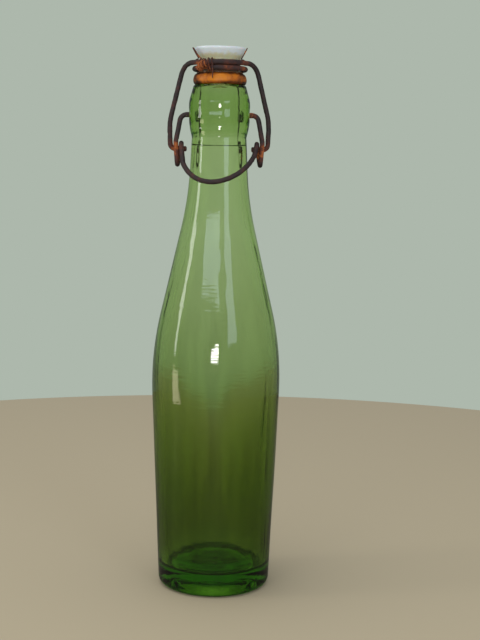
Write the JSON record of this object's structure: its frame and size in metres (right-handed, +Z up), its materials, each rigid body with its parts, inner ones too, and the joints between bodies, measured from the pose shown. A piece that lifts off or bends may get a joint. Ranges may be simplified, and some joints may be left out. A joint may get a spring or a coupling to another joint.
{
  "type": "swing-top bottle",
  "caption": "Tall green glass bottle with a porcelain swing stopper, a rubber sealing ring and a rusty lever-wire closure.",
  "frame": {"origin": "middle of the ring that the bottle stands on", "axes": "+Z up along the bottle's axis, the handle loop of the closure at -Y, its pins along X"},
  "size_m": [0.0688, 0.0686, 0.2881],
  "materials": {
    "green_glass": "clear yellow-green soda glass, slightly rippled, as blown in a mould",
    "porcelain": "white glazed porcelain, a little bluish and worn",
    "old_rubber": "old orange rubber, satin, browned at its edges",
    "rusty_wire": "drawn iron wire, rusted dark brown",
    "rusty_tie": "thin annealed iron tie wire, rusted"
  },
  "bodies": {
    "bottle": {"bottle": "green_glass"},
    "lever": {"lever_wire": "rusty_wire"},
    "bail": {"bail_wire": "rusty_wire", "binding_wire": "rusty_tie"},
    "stopper": {"stopper": "porcelain", "gasket": "old_rubber"}
  },
  "joints": [
    {"name": "lever_swing", "type": "hinge", "parent": "bottle", "child": "lever", "pos_m": [0, 0, 0.2532], "axis": [-1, 0, 0], "range_deg": [0, 140], "deforming": ["gasket"]},
    {"name": "bail_swing", "type": "hinge", "parent": "lever", "child": "bail", "pos_m": [0, 0.001, 0.23543], "axis": [-1, 0, 0], "range_deg": [-70, 0], "deforming": ["gasket"]},
    {"name": "stopper_turn", "type": "hinge", "parent": "bail", "child": "stopper", "pos_m": [0, 0, 0.2786], "axis": [0, 0, 1], "continuous": true}
  ],
  "couplings": [
    {"joint": "bail_swing", "follows": "lever_swing", "ratio": -0.5}
  ]
}
